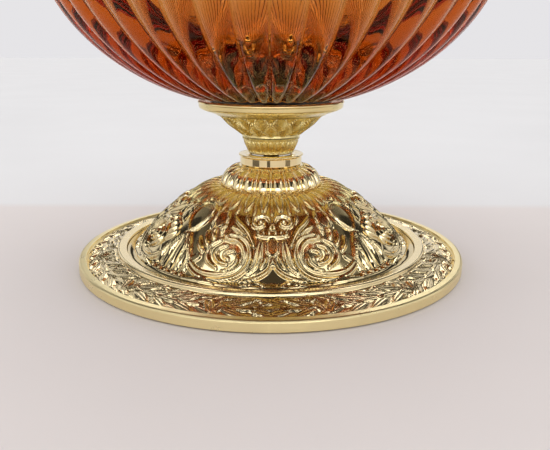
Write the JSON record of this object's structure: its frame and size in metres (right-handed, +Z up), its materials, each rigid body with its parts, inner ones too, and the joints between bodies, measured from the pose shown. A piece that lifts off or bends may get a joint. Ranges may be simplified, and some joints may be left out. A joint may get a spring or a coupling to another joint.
{
  "type": "footed glass bowl",
  "caption": "Footed centrepiece bowl: a fluted amber glass bowl clamped by a tie rod to a gilded brass foot with a scrolled dome and a round laurel flange.",
  "frame": {"origin": "centre of the foot's underside, on the table", "axes": "+Z up along the bowl's turning axis; +X to the right and -Y towards the viewer in the front view"},
  "size_m": [0.262, 0.262, 0.199],
  "materials": {
    "gilt_polished": "cast brass, gold plated and polished to a mirror, darker in the recesses",
    "gilt_satin": "gold-plated brass, satin brushed",
    "amber_glass": "clear amber crystal, fire polished",
    "black_rubber": "matt black rubber",
    "clear_nylon": "translucent nylon",
    "zinc_steel": "zinc-plated steel",
    "cast_iron": "black painted cast iron",
    "felt": "dark green baize"
  },
  "bodies": {
    "stand": {"felt_pad": "felt", "base_flange": "gilt_satin", "clamp_plate": "cast_iron", "scroll_dome": "gilt_polished", "gadroon_collar": "gilt_polished", "neck_ring": "gilt_polished", "neck_washer": "black_rubber", "lower_cup": "gilt_satin", "upper_cup": "gilt_satin", "support_plate": "gilt_satin", "bowl_gasket": "black_rubber", "tie_rod": "zinc_steel", "bottom_washer": "zinc_steel", "spring_washer": "zinc_steel", "bottom_nut": "zinc_steel"},
    "bowl": {"glass_bowl": "amber_glass", "bore_bush": "clear_nylon", "inner_gasket": "black_rubber"},
    "rosette": {"inner_rosette": "gilt_polished"},
    "cap_nut": {"cap_nut": "gilt_polished"}
  },
  "joints": [
    {"name": "bowl_lift", "type": "slide", "parent": "stand", "child": "bowl", "axis": [0, 0, 1], "range_m": [0, 0.05]},
    {"name": "rosette_rise", "type": "slide", "parent": "bowl", "child": "rosette", "axis": [0, 0, 1], "range_m": [0, 0.006]},
    {"name": "cap_nut_turn", "type": "hinge", "parent": "rosette", "child": "cap_nut", "pos_m": [0, 0, 0.1169], "axis": [0, 0, 1], "range_deg": [0, 1440]}
  ],
  "couplings": [
    {"joint": "cap_nut_turn", "follows": "rosette_rise", "rad_per_m": 4188}
  ]
}
